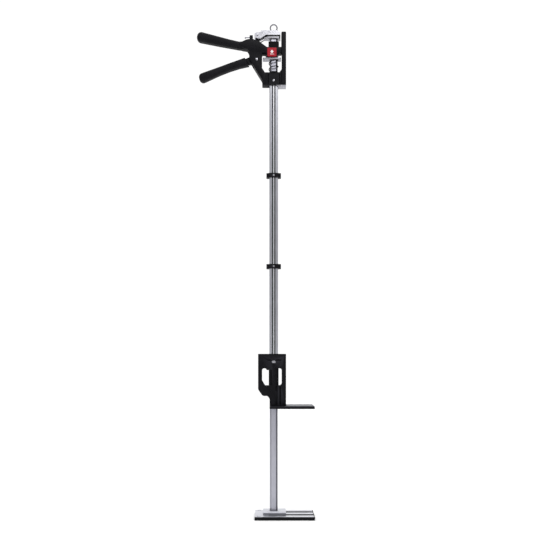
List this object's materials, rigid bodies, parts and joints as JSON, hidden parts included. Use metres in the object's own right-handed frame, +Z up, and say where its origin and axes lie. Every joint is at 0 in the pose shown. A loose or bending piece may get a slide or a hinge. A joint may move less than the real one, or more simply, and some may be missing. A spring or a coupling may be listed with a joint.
{
  "type": "drywall lift",
  "caption": "Hand-squeezed drywall lift: a jam-plate head climbs a flat steel rod and carries a low lifting plate on a slotted sleeve above a flat foot.",
  "frame": {"origin": "on the lift rod's axis, at the underside of the base pad, where it stands on the floor", "axes": "+Z up the rod, +X towards the nose of the lifting plate and foot, -Y towards the side that shows the badge"},
  "size_m": [0.2442, 0.077, 1.0297],
  "materials": {
    "black_paint": "fine-grained charcoal powder coat",
    "black_grip": "matte moulded nylon",
    "black_rubber": "matte",
    "black_nylon": "smooth turned nylon",
    "spring_steel": "oiled black oxide",
    "rod_steel": "drawn and zinc plated, satin",
    "sleeve_aluminium": "satin anodised extrusion",
    "base_aluminium": "brushed",
    "grey_pad": "matte grip sheet",
    "plate_steel": "hardened plate, ground faces",
    "bright_zinc": "bright zinc plate",
    "red_enamel": "red enamel label plate"
  },
  "bodies": {
    "base": {"base_pad": "black_rubber", "base_plate": "base_aluminium", "grip_strip_front": "black_rubber", "grip_strip_rear": "black_rubber", "socket_block": "base_aluminium", "block_screw_left": "bright_zinc", "block_screw_right": "bright_zinc", "nose_screw_front": "bright_zinc", "nose_screw_middle": "bright_zinc", "nose_screw_rear": "bright_zinc", "rod_screw": "bright_zinc", "lift_rod": "rod_steel", "hanging_eye": "bright_zinc"},
    "head": {"head_frame": "black_paint", "front_bar": "black_paint", "bar_screw_upper": "bright_zinc", "bar_screw_lower": "bright_zinc", "foot_plate": "plate_steel", "foot_screw_left": "bright_zinc", "foot_screw_right": "bright_zinc", "badge": "red_enamel", "pivot_pin": "bright_zinc", "guide_bush": "black_nylon", "sleeve_socket": "black_paint", "spring_seat": "black_nylon", "drive_spring": "spring_steel", "head_screw": "bright_zinc", "stop_screw": "bright_zinc", "release_pin": "bright_zinc", "sleeve_lower": "sleeve_aluminium", "sleeve_middle": "sleeve_aluminium", "sleeve_upper": "sleeve_aluminium", "collar_lower": "black_paint", "collar_upper": "black_paint", "collar_screw_lower": "bright_zinc", "collar_screw_upper": "bright_zinc", "carrier_frame": "black_paint", "guide_tube": "black_paint", "carrier_screw": "bright_zinc", "lifting_plate": "black_paint", "lifting_pad": "grey_pad", "plate_screw_front": "bright_zinc", "plate_screw_rear": "bright_zinc"},
    "lever": {"squeeze_lever": "black_paint", "squeeze_grip": "black_grip"},
    "drive_plates": {"drive_plate_lower": "plate_steel", "drive_plate_upper": "plate_steel"},
    "release": {"release_lever": "bright_zinc"},
    "hold_plates": {"hold_plate_lower": "plate_steel", "hold_plate_upper": "plate_steel", "hold_clip": "spring_steel"}
  },
  "joints": [
    {"name": "head_slide", "type": "slide", "parent": "base", "child": "head", "axis": [0, 0, 1], "range_m": [-0.212, 0]},
    {"name": "lever_squeeze", "type": "hinge", "parent": "head", "child": "lever", "pos_m": [-0.0353, 0, 0.9523], "axis": [0, 1, 0], "range_deg": [0, 25], "stiffness_Nm_per_rad": 0.6, "springref_deg": -17.19},
    {"name": "drive_travel", "type": "slide", "parent": "head", "child": "drive_plates", "axis": [0, 0, 1], "range_m": [-0.0104, 0], "deforming": ["drive_spring"]},
    {"name": "release_press", "type": "hinge", "parent": "head", "child": "release", "pos_m": [-0.0338, 0, 1.0032], "axis": [0, 1, 0], "range_deg": [0, 2.6], "stiffness_Nm_per_rad": 0.3, "springref_deg": -11.46},
    {"name": "hold_tilt", "type": "hinge", "parent": "head", "child": "hold_plates", "pos_m": [-0.0206, 0, 0.9972], "axis": [0, 1, 0], "range_deg": [0, 3]}
  ],
  "couplings": [
    {"joint": "drive_travel", "follows": "lever_squeeze", "m_per_rad": -0.0238},
    {"joint": "hold_tilt", "follows": "release_press", "ratio": 1.15}
  ]
}
